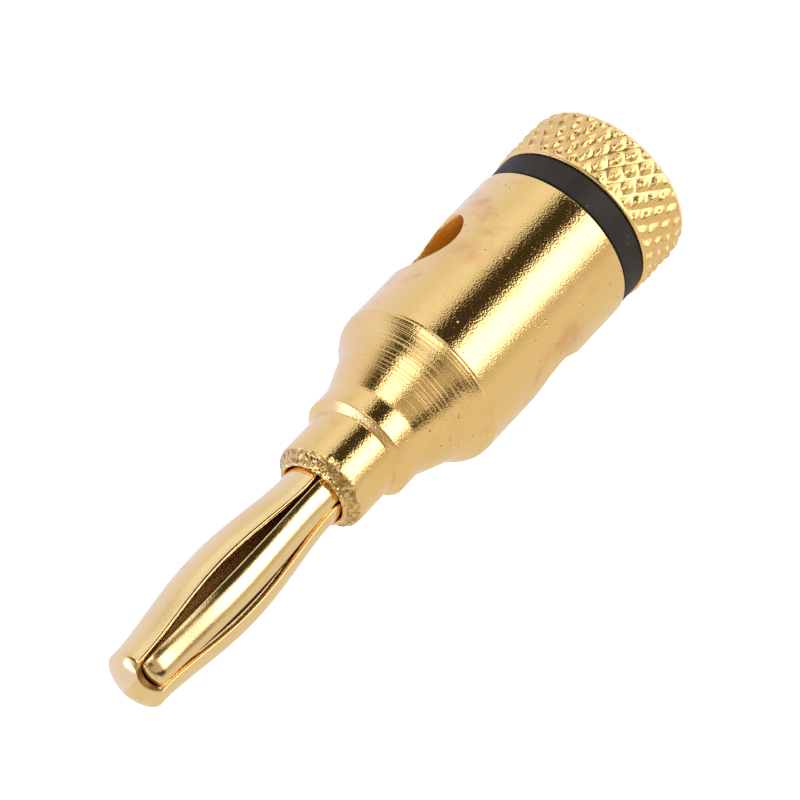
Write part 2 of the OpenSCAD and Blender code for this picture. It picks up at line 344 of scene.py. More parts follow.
def spread(i, own, other):
    """Indices that one face takes from a ring of own columns."""
    if own == 1:
        return [0]
    per_face = max(1, own // other) if other > 1 else 1
    return range(i * per_face, (i + 1) * per_face + 1)


def plain(point, columns):
    """A row that is the same all round."""
    return columns, lambda a: (point[0], point[1])


def pole(z):
    """A row on the axis."""
    return 1, lambda a: (0, z)


# Thread and knurl

def thread_dip(sizes, a, z):
    """Depth of the right-hand thread under its crest at an angle and height."""
    phase = (z / sizes.screw_pitch - a / TAU) % 1
    crest, root = 0.08, 0.44
    share = (abs(phase - 0.5) - crest) / (root - crest)
    return sizes.thread_depth * min(max(share, 0), 1)


def knurl_height(sizes, a, z):
    """Height of the knurl over its grooves: round ridges one way, worn unevenly and notched the
    other way."""
    around = a / TAU * sizes.knurl_count
    along = z / sizes.knurl_pitch
    ridge = abs(math.sin(math.pi * (around - along))) ** 1.6
    notch = math.cos(math.pi * (around + along)) ** 2
    patches = 11
    cell = Vector((math.cos(a), math.sin(a), z / sizes.cap_r)) * patches
    worn = 0.95 + 0.35 * noise.noise(cell) + 0.25 * noise.noise(cell * 2.1)
    notch_depth = 0.75
    height = ridge * (1 - notch_depth * notch) * worn
    lip_height, lip_start = 0.65, 2.4
    lip = min(max((z - sizes.cap_len) / sizes.cap_lip + lip_start, 0), 1)
    return sizes.knurl_depth * min(height + (lip_height - height) * lip, 1)


# Shader helpers

class Nodes:
    """Short calls for building a node tree."""

    def __init__(self, tree):
        self.tree = tree
        tree.nodes.clear()

    def add(self, kind, links=None, **settings):
        """Adds a node; links maps input names or numbers to sockets or plain values."""
        node = self.tree.nodes.new(kind)
        for key, value in settings.items():
            setattr(node, key, value)
        for key, value in (links or {}).items():
            socket = node.inputs[key]
            if isinstance(value, bpy.types.NodeSocket):
                self.tree.links.new(value, socket)
            else:
                socket.default_value = value
        return node

    def math(self, operation, *values):
        """A math node's result."""
        links = dict(enumerate(values))
        return self.add("ShaderNodeMath", links, operation=operation).outputs[0]

    def times(self, first, *others):
        """The product of all values."""
        for other in others:
            first = self.math("MULTIPLY", first, other)
        return first

    def axis(self, where, letter):
        """One coordinate of a place."""
        return self.add("ShaderNodeSeparateXYZ", {0: where}).outputs[letter]

    def vector(self, operation, *values):
        """A vector math node's result, which is a number for a length or dot product."""
        node = self.add("ShaderNodeVectorMath", dict(enumerate(values)), operation=operation)
        return node.outputs["Value" if operation in ("LENGTH", "DOT_PRODUCT") else "Vector"]

    def span(self, x, y):
        """Distance from the origin of a point in a plane."""
        return self.vector("LENGTH", self.add("ShaderNodeCombineXYZ", {"X": x, "Y": y}).outputs[0])

    def remap(self, value, low, high, to_low=0.0, to_high=1.0, kind="SMOOTHSTEP"):
        """A value moved from one range to another."""
        links = {
            "Value": value, "From Min": low, "From Max": high, "To Min": to_low, "To Max": to_high
        }
        node = self.add("ShaderNodeMapRange", links, interpolation_type=kind)
        return node.outputs["Result"]

    def mix(self, share, first, second):
        """A mix of two colours."""
        node = self.add("ShaderNodeMix", {0: share, 6: first, 7: second}, data_type="RGBA")
        return node.outputs[2]

    def blend(self, share, first, second):
        """A mix of two numbers."""
        node = self.add("ShaderNodeMix", {0: share, 2: first, 3: second}, data_type="FLOAT")
        return node.outputs[0]

    def noise(self, where, grain, detail=2.0, roughness=0.5):
        """Noise whose grain is about this many metres across."""
        links = {"Vector": where, "Scale": 1 / grain, "Detail": detail, "Roughness": roughness}
        return self.add("ShaderNodeTexNoise", links).outputs["Fac"]

    def cells(self, where, grain):
        """Distance from the middle of the nearest cell, whose size is about grain in metres."""
        links = {"Vector": where, "Scale": 1 / grain}
        return self.add("ShaderNodeTexVoronoi", links).outputs["Distance"]

    def bump(self, height, depth, strength=1.0, normal=None):
        """A bump whose full height is depth in metres."""
        links = {"Height": height, "Distance": depth, "Strength": strength}
        if normal is not None:
            links["Normal"] = normal
        return self.add("ShaderNodeBump", links).outputs["Normal"]

    def surface(self, links):
        """Ends the tree in one surface shader."""
        shader = self.add("ShaderNodeBsdfPrincipled", links)
        self.add("ShaderNodeOutputMaterial", {"Surface": shader.outputs[0]})


def new_material(name):
    """A material, its nodes and the place on the piece that they depend on."""
    material = bpy.data.materials.new(name)
    material.use_nodes = True
    n = Nodes(material.node_tree)
    return material, n, n.add("ShaderNodeTexCoord").outputs["Object"]


def rgba(value):
    """A colour property with full opacity."""
    return (*value, 1)


def gold_finish(
    name, base, finish, polish, peel, pitted=1.0, lines=0.0, worn=(), torn=None, stained=None
):
    """Gold plate: warm patches, fine orange peel and tiny pits. Peel is the depth of the orange
    peel, pitted the share of the pits, and lines the depth of marks along the axis. Worn lists
    (function that shows where, its colour, its roughness) for patches of another skin: bare and
    rough skin, and painted shade that darkens hollows and faces turned inward. Torn is a
    function that shows where the turning tool tore the skin, stained one that shows where the
    plate is tarnished."""
    material, n, where = new_material(name)
    patches = n.remap(n.noise(where, 3.5 * MM, 3), 0.45, 0.75)
    stains = n.remap(n.noise(where, 1.1 * MM, 4, 0.6), 0.56, 0.8)
    warm = n.mix(n.times(patches, 0.35), rgba(base), rgba(finish.gold_deep))
    tint = n.mix(n.times(stains, 0.45), warm, rgba(finish.tarnish))
    if stained:
        tint = n.mix(stained(n, where), tint, rgba(finish.tarnish))
    spots = n.remap(n.cells(where, 0.42 * MM), 0.08, 0.18, 1, 0)
    sparse = n.remap(n.noise(where, 1.2 * MM, 1), 0.57, 0.62)
    pits = n.times(spots, sparse, pitted)
    tint = n.mix(n.times(pits, 0.75), tint, rgba(finish.pit_brown))
    grain = n.noise(where, 0.1 * MM, 1)
    rough = n.remap(grain, 0.3, 0.7, polish * 0.75, polish * 1.35, "LINEAR")
    normal = n.bump(grain, peel)
    normal = n.bump(pits, -0.03 * MM, 0.6, normal)
    if lines:
        stretched = n.add("ShaderNodeMapping", {"Vector": where, "Scale": (1, 1, 0.03)})
        rolled = n.noise(stretched.outputs[0], 0.12 * MM, 2, 0.6)
        normal = n.bump(rolled, lines, 1.0, normal)
    if torn:
        scars = torn(n, where)
        tint = n.mix(n.times(scars, 0.3), tint, rgba(finish.gold_deep))
        rough = n.math("ADD", rough, n.times(scars, 0.3))
        normal = n.bump(scars, -0.012 * MM, 1.0, normal)
    # Worn patches are real bare skin on the nose, and painted shade in the wire hole, the bore and
    # on the leaves' inward faces.
    for place, wear_and_shade_colour, wear_and_shade_roughness in worn:
        share = place(n, where)
        tint = n.mix(share, tint, rgba(wear_and_shade_colour))
        rough = n.math("ADD", rough, n.times(share, wear_and_shade_roughness - polish))
        normal = n.bump(n.noise(where, 0.07 * MM, 2), 0.01 * MM, share, normal)
    n.surface({"Base Color": tint, "Metallic": 1.0, "Roughness": rough, "Normal": normal})
    return material


def plastic_finish(name, finish, low, high):
    """Matte black plastic with a fine skin, a few pale specks, and painted shade that darkens its
    rims at two heights, where the ring meets barrel and cap.
    """
    material, n, where = new_material(name)
    spots = n.remap(n.cells(where, 0.55 * MM), 0.08, 0.22, 1, 0)
    specks = n.times(spots, n.remap(n.noise(where, 0.8 * MM, 1), 0.55, 0.66))
    cloud = n.remap(n.noise(where, 1.6 * MM, 3), 0.3, 0.8, 0, 0.22)
    skin = n.mix(n.math("MAXIMUM", specks, cloud), rgba(finish.ring_black), rgba(finish.ring_speck))
    z = n.axis(where, "Z")
    inset = n.math("MINIMUM", n.math("SUBTRACT", z, low), n.math("SUBTRACT", high, z))
    # Painted shade: the plastic turns darker near both ends, where the ring meets barrel and cap.
    skin = n.mix(n.remap(inset, 0.06 * MM, 0.2 * MM), rgba(finish.ring_rim_shade), skin)
    grain = n.noise(where, 0.08 * MM, 3, 0.6)
    rough = n.remap(grain, 0.3, 0.7, finish.ring_matte * 0.85, finish.ring_matte * 1.15, "LINEAR")
    normal = n.bump(grain, 0.01 * MM)
    n.surface(
        {"Base Color": skin, "Roughness": rough, "Normal": normal, "Specular IOR Level": 0.2}
    )
    return material


def dress(obj, material, body, slot, *nodes):
    """Gives a finished piece its material and the body it moves with, and hides the solids it
    stands for.
    """
    obj.data.materials.clear()
    obj.data.materials.append(material)
    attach(obj, body)
    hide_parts(*nodes)


# Barrel

def flare_start(s):
    """Height at which the plain barrel ends."""
    return s.barrel_rear + s.barrel_len


def thread_mouth(s):
    """Radius of the bevel at the thread's mouth."""
    return s.screw_r + s.screw_gap + s.screw_pitch / 4


def flare_points(s):
    """Half section of the flare: shoulder arc, steep cone, hollow arc, slim cone."""
    z_flare = flare_start(s)
    shoulder = Vector((s.barrel_r, z_flare)) - s.shoulder_r * direction(s.crease)
    steep_end = (
        shoulder
        + s.shoulder_r * direction(s.steep)
        + s.steep_len * direction(s.steep + math.pi / 2)
    )
    hollow = steep_end + s.hollow_r * direction(s.steep)
    slim_start = hollow - s.hollow_r * direction(s.slim)
    z_neck = slim_start.y + (slim_start.x - s.neck_r) / math.tan(s.slim)
    points = arc(shoulder, s.shoulder_r, s.crease, s.steep, 16)
    points += arc(hollow, s.hollow_r, math.pi + s.steep, math.pi + s.slim, 12)
    return points, z_neck


def barrel_outside(s, ring_steps=6, coarse=0.25 * MM, fine=0.05 * MM):
    """Half section from the mouth of the thread over the outside to the floor of the front bore."""
    flare, z_neck = flare_points(s)
    z_step = z_neck + s.neck_len
    z_collar = z_step + s.step_len
    z_nose = z_collar + s.collar_len
    z_mouth = s.barrel_mouth
    z_floor = z_mouth - s.root_depth
    mouth_in = 2 * (s.mouth_r - s.seat_r)
    edge = s.edge_r
    z_flare = flare_start(s)
    rear = rounded([
        (thread_mouth(s), s.barrel_rear, 0),
        (s.barrel_r - s.barrel_bevel, s.barrel_rear, edge),
        (s.barrel_r, s.barrel_rear + s.barrel_bevel, edge),
        (s.barrel_r, z_flare, 0),
        (s.barrel_r - s.groove_d, z_flare + s.groove_w / 2, 0),
    ])
    front = rounded([
        (flare[-1].x, flare[-1].y, 0),
        (s.neck_r, z_neck, s.neck_blend),
        (s.neck_r, z_step, edge),
        (s.collar_r, z_collar, edge),
        (s.collar_r, z_nose, edge),
        (s.mouth_r + s.bead_w * 1.2, z_mouth - s.bead_w * 1.4, edge),
        (s.mouth_r + s.bead_w * 0.9, z_mouth - s.bead_w * 0.2, edge),
        (s.mouth_r + s.bead_w * 0.4, z_mouth, edge),
        (s.mouth_r, z_mouth - s.bead_w * 0.2, edge),
        (s.seat_r, z_mouth - mouth_in, 0),
        (s.seat_r, z_floor, 0),
    ])
    collar = [p for p in front[1:] if p.y <= z_nose and p.x > s.seat_r]
    nose = [p for p in front[len(collar) + 1:] if p.x > s.seat_r]
    bore = front[1 + len(collar) + len(nose):]
    shoulder = [p for p in flare if p.y > z_flare + s.groove_w]
    close = filled(shoulder + [front[1]], s.tool_pitch / ring_steps)
    ridged = [ringed(s, p, z_flare, z_neck) for p in close]
    points = filled(rear + ridged[:1], coarse) + ridged[1:-1]
    points += filled(collar, coarse) + filled(collar[-1:] + nose, fine)[1:]
    points += filled(nose[-1:] + bore, coarse)[1:]
    return points, z_nose


def ringed(s, point, z_start, z_end):
    """A point of the flare, sunk by the rings that the tool left, which fade to the front."""
    along = (point.y - z_start) / (z_end - z_start)
    feed = (point.y - z_start) / s.tool_pitch
    ring = math.floor(feed)
    uneven = 0.6 + 0.8 * noise.noise(Vector((ring * 1.7, 0.37, 0.61)))
    scallop = 1 - (2 * (feed - ring) - 1) ** 2
    fade = 1 - 0.75 * along
    return Vector((point.x - s.tool_depth * fade * uneven * scallop, point.y))


def barrel_rows(s, columns=288, thread_steps=12):
    """Rows of the barrel: drilled bottom, wire chamber, thread, outside, nose and front bore."""
    bore_r = s.screw_r + s.screw_gap
    chamber_r = math.hypot(s.screw_r + s.chamber_gap, s.hole_r)
    z_chamber = s.hole_z - s.hole_r - s.chamber_run
    z_end = s.hole_z + s.hole_r + s.chamber_run
    rows = [pole(z_end + s.screw_r * math.tan(s.drill_angle))]
    for point in ((s.screw_r, z_end), (chamber_r, z_end), (chamber_r, z_chamber)):
        rows.append(plain(point, columns))
    count = math.ceil((z_chamber - s.barrel_rear) / s.screw_pitch * thread_steps)
    for k in range(count):
        z = z_chamber + (s.barrel_rear - z_chamber) * k / count
        bevel_r = thread_mouth(s) - (z - s.barrel_rear)
        rows.append((
            columns,
            lambda a, z=z, b=bevel_r: (max(bore_r - thread_dip(s, a, z), b), z),
        ))
    outside, z_nose = barrel_outside(s)
    z_grit = z_nose - 0.1 * MM
    for r, z in outside:
        if z_grit < z <= s.barrel_mouth and r > s.seat_r:
            rows.append((columns, lambda a, r=r, z=z: grit(s, a, r, z)))
        else:
            rows.append(plain((r, z), columns))
    rows.append(pole(outside[-1].y))
    return rows


def grit(s, a, r, z):
    """A point of the rolled nose, moved along its slope's normal by the rough skin."""
    grain = 0.28 * MM
    where = Vector((r * math.cos(a), r * math.sin(a), z)) / grain
    rise = s.nose_grit * (noise.noise(where) + 0.5 * noise.noise(where * 2.3)) - s.nose_grit * 0.6
    slope = 0.7
    return r + rise * slope, z + rise * slope


def hole_cutter(s, columns=96):
    """A rod across the barrel that widens at both ends, to cut the wire hole and round its rim."""
    edge = s.hole_edge

    def rim(side, radius, lift):
        ring = []
        for i in range(columns):
            a = TAU * (i + 0.5) / columns
            y, up = radius * math.cos(a), radius * math.sin(a)
            x = side * (math.sqrt(s.barrel_r ** 2 - y ** 2) + lift)
            ring.append((x, y, s.hole_z + up))
        return ring

    turns = [math.radians(a) for a in (0, 20, 40, 60)]
    half = [(s.hole_r + edge * (1 - math.cos(t)), edge * (math.sin(t) - 1)) for t in turns]
    wide, lift = half[-1]
    half.append((wide + 5 * edge, lift + 3 * edge))
    rings = [rim(-1, *step) for step in reversed(half)] + [rim(1, *step) for step in half]
    far = 1.3 * s.barrel_r
    return skinned("wire_hole_cutter", [[(-far, 0, s.hole_z)], *rings, [(far, 0, s.hole_z)]])


def hole_shade_places(s, n, where):
    """Painted shade in the barrel's hollows: the walls of hole and bore are coloured deeper
    orange-brown.
    """
    radius = n.span(n.axis(where, "X"), n.axis(where, "Y"))
    deep = n.remap(radius, s.barrel_r - 0.3 * MM, s.barrel_r - 0.1 * MM, 1, 0)
    z_flare = flare_start(s)
    behind = n.remap(n.axis(where, "Z"), z_flare - 0.6 * MM, z_flare - 0.3 * MM, 1, 0)
    return n.times(deep, behind)


def stained_places(s, n, where):
    """Where the barrel's plate is tarnished: blotches in a wide ring round the wire hole."""
    up = n.math("SUBTRACT", n.axis(where, "Z"), s.hole_z)
    away = n.span(n.axis(where, "Y"), up)
    start = n.remap(away, s.hole_r + 0.3 * MM, s.hole_r + 1.1 * MM, 0.3, 1)
    end = n.remap(away, s.hole_r + 1.4 * MM, s.hole_r + 2.1 * MM, 1, 0)
    blotches = n.remap(n.noise(where, 1.9 * MM, 3), 0.42, 0.62, 0.0, 0.8)
    return n.times(blotches, start, end)


def nose_place(s, n, where):
    """Where the barrel is rolled down round the leaf roots, with specks of plate left."""
    z = n.axis(where, "Z")
    nose = n.remap(z, s.barrel_mouth - 0.7 * MM, s.barrel_mouth - 0.64 * MM)
    bead = n.remap(z, s.barrel_mouth - 0.2 * MM, s.barrel_mouth - 0.12 * MM, 1, 0.2)
    specks = n.remap(n.noise(where, 0.22 * MM, 2), 0.42, 0.58, 0.9, 0.25)
    return n.times(nose, bead, specks)


def torn_rings(s, n, where):
    """Where the turning tool tore the flare: uneven rings, strongest on the shoulder."""
    z = n.axis(where, "Z")
    level = n.add("ShaderNodeCombineXYZ", {"Z": z}).outputs[0]
    rings = n.remap(n.noise(level, 0.11 * MM, 2, 0.7), 0.5, 0.66)
    z_flare = flare_start(s)
    z_neck = flare_points(s)[1]
    start = n.remap(z, z_flare + 0.1 * MM, z_flare + 0.2 * MM)
    fade = n.remap(z, z_flare + 1.3 * MM, z_neck, 1, 0.25)
    end = n.remap(z, z_neck - 0.2 * MM, z_neck, 1, 0)
    return n.times(rings, start, fade, end)


class PLUG_OT_barrel(bpy.types.Operator):
    """Turn the barrel with its flare, collars, thread and wire hole"""

    bl_idname = "plug.barrel"
    bl_label = "Barrel"

    def execute(self, context):
        s = context.scene.plug_sizes
        finish = context.scene.plug_finish
        obj = turned("barrel_turned", barrel_rows(s))
        cutter = hole_cutter(s)
        cut = obj.modifiers.new("Wire hole", "BOOLEAN")
        cut.operation = "DIFFERENCE"
        cut.solver = "EXACT"
        cut.object = cutter
        before = len(obj.data.polygons)
        bake_modifiers(obj)
        bpy.data.objects.remove(cutter)
        if len(obj.data.polygons) < before / 2:
            raise RuntimeError("the wire hole could not be cut")
        material = gold_finish(
            "barrel_gold_plate", finish.gold, finish, finish.polish, 0.013 * MM,
            worn=(
                # Painted shade: the walls of the wire hole and bore are coloured deeper
                # orange-brown.
                (lambda n, where: hole_shade_places(s, n, where), finish.hole_shade, 0.36),
                (lambda n, where: nose_place(s, n, where), finish.nose_brown, 0.16),
            ),
            torn=lambda n, where: torn_rings(s, n, where),
            stained=lambda n, where: stained_places(s, n, where),
        )
        dress(obj, material, "plug", "gold_plate", "barrel")
        return {"FINISHED"}


# Contact pin

def bow_at(s, z):
    """How far a leaf stands out from the straight pin at a height."""
    start, peak = s.barrel_mouth + s.bow_start, s.barrel_mouth + s.bow_peak
    end = s.leaf_tip - s.bow_end
    if not start < z < end:
        return 0
    share = (z - start) / (peak - start) if z < peak else (end - z) / (end - peak)
    return s.bow * math.sin(math.pi / 2 * share) ** 1.5


def strip_face(s, radius, half, strap, ball_r, ball_z, columns, soft, leaf_steps=110, fold=14):
    """Rows of one face of a strip: up one leaf, over the tip and down the other leaf."""
    z_root = s.barrel_mouth - s.root_depth
    z_cup = s.leaf_tip - s.bow_end
    levels = [z_root + (z_cup - z_root) * i / leaf_steps for i in range(leaf_steps + 1)]
    across = [2 * j / columns - 1 for j in range(columns + 1)]

    def leaf(side, z):
        out = bow_at(s, z)
        wide = half + s.leaf_swell * out / s.bow
        return [
            (side * (out + radius * math.cos(wide * u)), radius * math.sin(wide * u), z)
            for u in across
        ]

    def tip(c):
        row = []
        for u in across:
            x = c * radius * math.cos(half * u)
            y = u * strap * (1 - c * c) + radius * math.sin(half * u) * c * c
            row.append((x, y, ball_z + math.sqrt(ball_r ** 2 - x * x - y * y)))
        return row

    rows = [leaf(1, z) for z in levels]
    rows += [tip(1 - k / fold) for k in range(2 * fold + 1)]
    rows += [leaf(-1, z) for z in reversed(levels)]
    bends = (len(levels), len(levels) + 2 * fold)
    return softened(rows, bends, soft)


def softened(rows, bends, passes, reach=5):
    """Rows of a strip with the sharp bends rounded by drawing each row toward its neighbours."""
    rows = [[Vector(p) for p in row] for row in rows]
    near = [i for bend in bends for i in range(bend - reach, bend + reach + 1)]
    for _ in range(passes):
        drawn = {
            i: [(a + 2 * b + c) / 4 for a, b, c in zip(rows[i - 1], rows[i], rows[i + 1])]
            for i in near
        }
        for i, row in drawn.items():
            rows[i] = row
    return rows


def strip(s, name, half, lean, strap, ball_r, ball_z, columns, turn, soft):
    """A spring strip folded into a U, with rounded sheared edges."""
    outside = strip_face(s, s.pin_r, half, strap, ball_r, ball_z, columns, soft)
    inner_r = s.pin_r - s.leaf_t
    inside = strip_face(s, inner_r, half + lean, strap, ball_r - s.leaf_t, ball_z, columns, soft)
    verts = [p for row in outside + inside for p in row]
    per_row = columns + 1
    rows = len(outside)
    back = rows * per_row
    faces = []
    for i in range(rows - 1):
        a, d = i * per_row, (i + 1) * per_row
        for j in range(columns):
            faces.append((a + j, a + j + 1, d + j + 1, d + j))
            faces.append((back + a + j, back + d + j, back + d + j + 1, back + a + j + 1))
        faces.append((back + a, a, d, back + d))
        faces.append((a + columns, back + a + columns, back + d + columns, d + columns))
    last = (rows - 1) * per_row
    for j in range(columns):
        faces.append((j + 1, j, back + j, back + j + 1))
        faces.append((last + j, last + j + 1, back + last + j + 1, back + last + j))
    turned_verts = [Matrix.Rotation(turn, 3, "Z") @ Vector(p) for p in verts]
    obj = add_object(name, turned_verts, faces)
    bevel = obj.modifiers.new("Sheared edges", "BEVEL")
    bevel.width = s.leaf_edge
    bevel.segments = 3
    bevel.limit_method = "ANGLE"
    bevel.angle_limit = math.radians(35)
    bake_modifiers(obj, sharp_degrees=50)
    return obj


def shaded_inward_faces(n, where):
    """Painted shade on a strip: its faces turned inward into the pin and the strap's sheared edges
    are coloured darker.
    """
    normal = n.add("ShaderNodeTexCoord").outputs["Normal"]
    flat = n.vector("MULTIPLY", where, (1, 1, 0))
    facing = n.vector("DOT_PRODUCT", normal, n.vector("NORMALIZE", flat))
    inside = n.remap(facing, -0.7, -0.2, 1, 0)
    strap = n.remap(n.vector("LENGTH", flat), 1.4 * MM, 1.6 * MM, 1, 0)
    upright = n.remap(n.axis(normal, "Z"), 0.2, 0.5, 1, 0)
    sheared = n.times(strap, upright)
    return n.math("MAXIMUM", inside, sheared)


class PLUG_OT_leaf_springs(bpy.types.Operator):
    """Fold the two crossed spring strips of the contact pin"""

    bl_idname = "plug.leaf_springs"
    bl_label = "Leaf springs"

    def execute(self, context):
        s = context.scene.plug_sizes
        finish = context.scene.plug_finish
        narrow_half = math.pi / 2 - s.wide_half - s.leaf_gap
        dome_z = s.leaf_tip - s.dome_r
        crease_z = dome_z + math.sqrt(s.dome_r ** 2 - s.pin_r ** 2)
        under_r = s.dome_r * 4 / 3
        under_z = crease_z - s.leaf_t - math.sqrt(under_r ** 2 - s.pin_r ** 2)
        bar = (s.pin_r - s.leaf_t) * math.sin(narrow_half)
        material = gold_finish(
            "spring_gold_plate", finish.spring_gold, finish, finish.spring_polish, 0.003 * MM,
            # Painted shade: the strips' inward faces and the strap's sheared edges are coloured
            # dark brown.
            pitted=0.0, lines=0.003 * MM, worn=((shaded_inward_faces, finish.leaf_inside_shade, 0.4),),
        )
        outer = strip(
            s, "outer_strip", s.wide_half, s.edge_lean, s.strap_w / 2, s.dome_r, dome_z,
            columns=26, turn=s.pin_turn, soft=0,
        )
        inner = strip(
            s, "inner_strip", narrow_half, 0, bar, under_r, under_z,
            columns=14, turn=s.pin_turn + math.pi / 2, soft=6,
        )
        dress(outer, material, "plug", "spring_plate", "outer_leaf_spring")
        dress(inner, material, "plug", "spring_plate", "inner_leaf_spring")
        return {"FINISHED"}


class PLUG_OT_root_plug(bpy.types.Operator):
    """Plate the plug between the leaf roots"""

    bl_idname = "plug.root_plug"
    bl_label = "Root plug"

    def execute(self, context):
        finish = context.scene.plug_finish
        solid = frame["nodes"]["root_plug"]
        material = gold_finish(
            "root_plug_gold_plate", finish.gold, finish, finish.cap_polish, 0.004 * MM
        )
        solid.data.materials.clear()
        solid.data.materials.append(material)
        return {"FINISHED"}


# Colour ring

class PLUG_OT_colour_ring(bpy.types.Operator):
    """Mould the black ring between barrel and cap"""

    bl_idname = "plug.colour_ring"
    bl_label = "Colour ring"

    def execute(self, context):
        s = context.scene.plug_sizes
        finish = context.scene.plug_finish
        low, high = RING_LOW.z, RING_HIGH.z
        bore_r = s.screw_r + s.screw_gap
        bevel, edge = s.ring_bevel, s.edge_r
        outline = rounded([
            (bore_r, low, 0),
            (s.ring_r - bevel, low, edge),
            (s.ring_r, low + bevel, edge),
            (s.ring_r, high - bevel, edge),
            (s.ring_r - bevel, high, edge),
            (bore_r, high, 0),
            (bore_r, low, 0),
        ])
        columns = 200
        rows = [plain(point, columns) for point in filled(outline, 0.3 * MM)[:-1]]
        obj = turned("colour_ring_moulded", rows, loop=True)
        material = plastic_finish("ring_black_plastic", finish, low, high)
        dress(obj, material, "ring", "ring_plastic", "colour_ring")
        return {"FINISHED"}


# Screw cap

def cap_rows(s, per_diamond=20, screw_columns=128, thread_steps=18):
    """Rows of the cap: rear face, knurled side, front face, threaded screw and its end."""
    columns = s.knurl_count * per_diamond
    edge = s.edge_r
    blank = rounded([
        (0, 0, 0),
        (s.cap_r - s.cap_bevel, 0, edge * 3),
        (s.cap_r - 0.3 * s.cap_bevel, 0.3 * s.cap_bevel, edge * 4),
        (s.cap_r, s.cap_bevel, edge * 4),
        (s.cap_r, s.cap_len - s.cap_lip, edge * 3),
        (s.cap_r - s.cap_lip, s.cap_len, edge * 3),
        (s.screw_r, s.cap_len, 0),
    ])
    groove_r = s.cap_r - s.knurl_depth
    rows = [pole(0)]
    for r, z in filled(blank[1:-1], s.knurl_pitch / per_diamond):
        rows.append((
            columns,
            lambda a, r=r, z=z: (min(r, groove_r + knurl_height(s, a, z)), z),
        ))
    relief_r = s.screw_r - s.thread_depth
    rows.append(plain((relief_r, s.cap_len), screw_columns))
    relief_len = 0.4 * s.screw_pitch
    start = s.cap_len + relief_len
    count = math.ceil((s.screw_end - start) / s.screw_pitch * thread_steps)
    for k in range(count + 1):
        z = start + (s.screw_end - start) * k / count
        limit = s.screw_r - max(0, z - (s.screw_end - s.screw_pitch / 2))
        limit = min(limit, relief_r + (z - start))
        rows.append((
            screw_columns,
            lambda a, z=z, limit=limit: (min(s.screw_r - thread_dip(s, a, z), limit), z),
        ))
    rows.append(pole(s.screw_end))
    return rows


class PLUG_OT_screw_cap(bpy.types.Operator):
    """Knurl the cap and cut the thread of its clamp screw"""

    bl_idname = "plug.screw_cap"
    bl_label = "Screw cap"

    def execute(self, context):
        s = context.scene.plug_sizes
        finish = context.scene.plug_finish
        obj = turned("screw_cap_knurled", cap_rows(s), sharp_degrees=40)
        material = gold_finish(
            "cap_gold_plate", finish.cap_gold, finish, finish.cap_polish, 0.012 * MM
        )
        dress(obj, material, "cap", "cap_plate", "screw_cap")
        return {"FINISHED"}


# Stage

def studio_world(stage):
    """Soft white room. Shiny metal sees three tiers of cards on the camera's side instead."""
    world = bpy.data.worlds.new("studio")
    bpy.context.scene.world = world
    world.use_nodes = True
    n = Nodes(world.node_tree)
    where = n.add("ShaderNodeTexCoord").outputs["Generated"]
    turn = n.add(
        "ShaderNodeVectorRotate",
        {"Vector": where, "Angle": math.pi / 2 - stage.view_azimuth},
        rotation_type="Z_AXIS",
    )
    xyz = n.add("ShaderNodeSeparateXYZ", {0: turn.outputs[0]})
    bearing = n.math("DEGREES", n.math("ARCTAN2", xyz.outputs["Y"], xyz.outputs["X"]))
    height = n.math("DEGREES", n.math("ARCSINE", xyz.outputs["Z"]))

    def hang(behind, low, high, level, soft_low=4, soft_high=4):
        """A card between two bearings from the camera, in degrees, before what is behind it."""
        rise = n.remap(bearing, low - soft_low, low + soft_low)
        fall = n.remap(bearing, high - soft_high, high + soft_high, 1, 0)
        return n.blend(n.times(rise, fall), behind, level)

    walls = n.remap(bearing, -2, 6, stage.right_wall, stage.left_wall)
    floor_glow = n.remap(height, -52, -42, stage.floor_glow, 0)

    low = hang(walls, 42, 66, stage.low_pane, 8, 8)
    low = hang(low, -61, -46, stage.low_strip, 5, 5)
    low = hang(low, -41, -6, stage.lamp, 7, 8)
    low = hang(low, -1, 33, stage.flag, 4, 4)
    low = n.math("MAXIMUM", low, floor_glow)

    high = hang(walls, 45, 74, stage.flag, 4, 14)
    high = hang(high, -34, 12, stage.dim_card, 4, 4)
    high = hang(high, -54, -37, stage.flag, 7, 5)
    high = hang(high, -9, 8, n.remap(height, 5, 24, stage.dim_card, stage.dim_end), 5, 5)
    high = hang(high, 11, 43, n.remap(height, 8, 40, stage.window, stage.window_end), 5, 3)
    high = hang(high, 98, 125, n.remap(height, 44, 54, stage.left_wall, stage.side_lamp), 5, 5)

    top = hang(walls, -100, 92, stage.top_card, 6, 6)
    top = hang(top, 98, 122, stage.top_lamp, 5, 5)

    light = n.blend(n.remap(height, -22, -8), low, high)
    light = n.blend(n.remap(height, 58, 72), light, top)
    side_tint = n.mix(n.remap(bearing, 20, 50), rgba(stage.right_tint), rgba(stage.left_tint))
    side_tint = n.mix(n.remap(bearing, 65, 125), side_tint, rgba(stage.far_tint))
    tint = n.mix(light, rgba(stage.shade_tint), side_tint)
    shown = n.add("ShaderNodeVectorMath", {0: tint, "Scale": light}, operation="SCALE").outputs[0]
    glossy = n.add("ShaderNodeLightPath").outputs["Is Glossy Ray"]
    room = (stage.room_light,) * 3
    shown = n.mix(glossy, rgba(room), shown)
    background = n.add("ShaderNodeBackground", {"Color": shown, "Strength": 1.0})
    n.add("ShaderNodeOutputWorld", {"Surface": background.outputs[0]})


